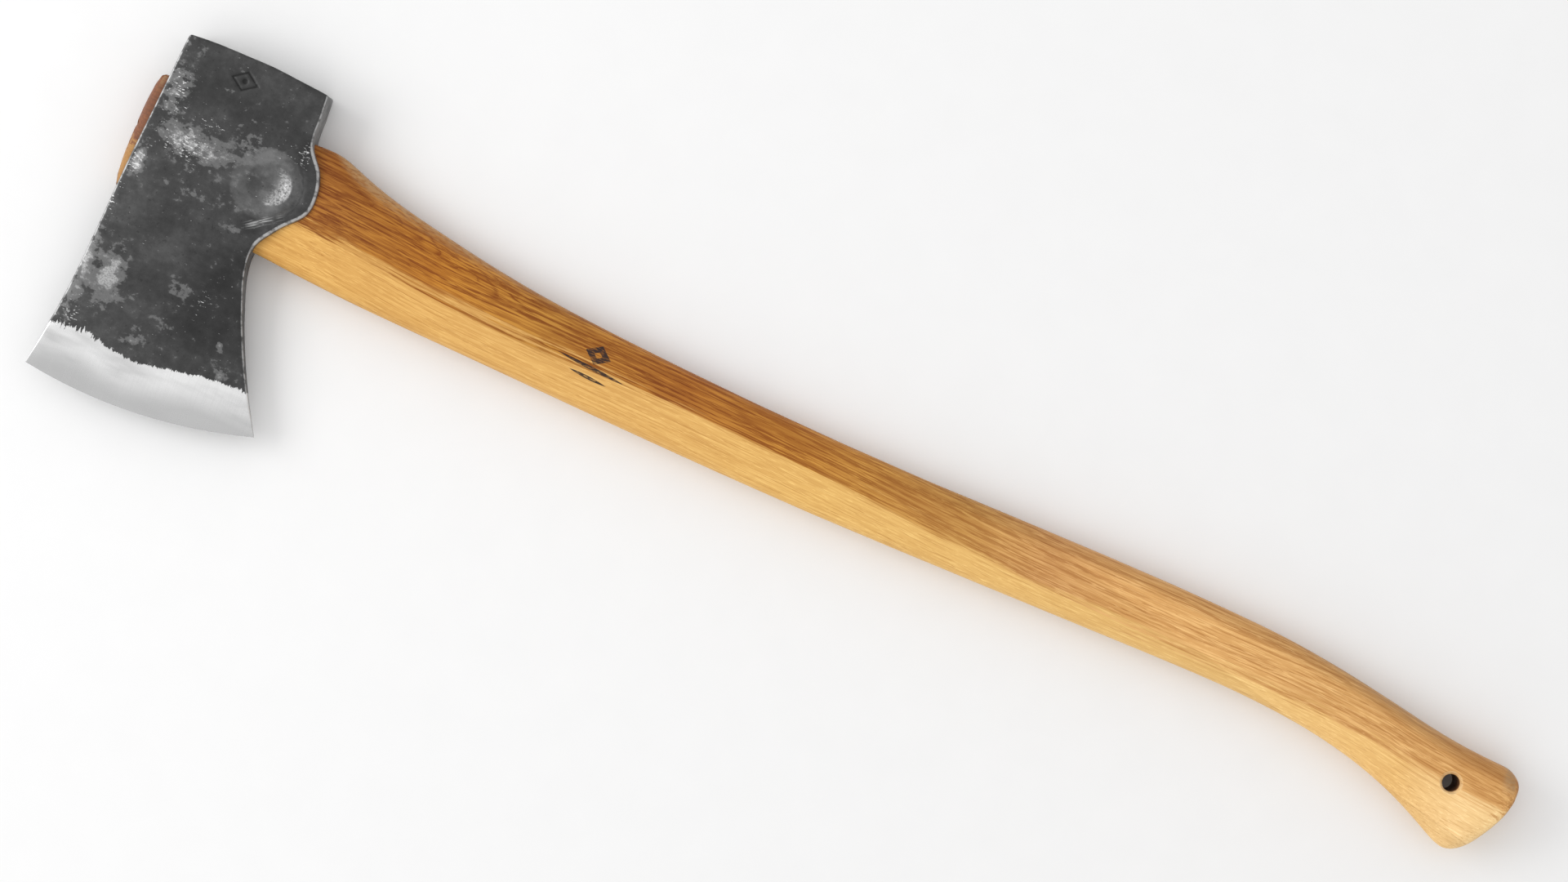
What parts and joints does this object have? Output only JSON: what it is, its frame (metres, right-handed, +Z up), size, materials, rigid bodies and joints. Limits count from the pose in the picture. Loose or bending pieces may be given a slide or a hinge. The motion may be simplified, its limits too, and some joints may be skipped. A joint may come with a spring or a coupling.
{
  "type": "single-bit felling axe",
  "caption": "Long-handled single-bit axe: forged flat-poll head with drawn-down ears, curved wooden handle with a flared knob and hanging hole, wedged in the eye, lying on its side.",
  "frame": {"origin": "middle of the axe's bounding box on the flat surface it lies on", "axes": "+X along the handle from the head to the knob, +Y from the cutting edge to the poll, +Z up, through the cheeks of the head"},
  "size_m": [0.8114, 0.1968, 0.03],
  "materials": {
    "forged_steel": "dark forge scale with a bright ground bevel",
    "handle_wood": "oiled, darker heartwood along the back",
    "wedge_wood": "oiled end grain",
    "wedge_steel": "plain mild steel, slightly dull"
  },
  "bodies": {
    "root": {"axe_head": "forged_steel", "handle": "handle_wood", "wooden_wedge": "wedge_wood", "steel_wedge": "wedge_steel"}
  },
  "joints": []
}
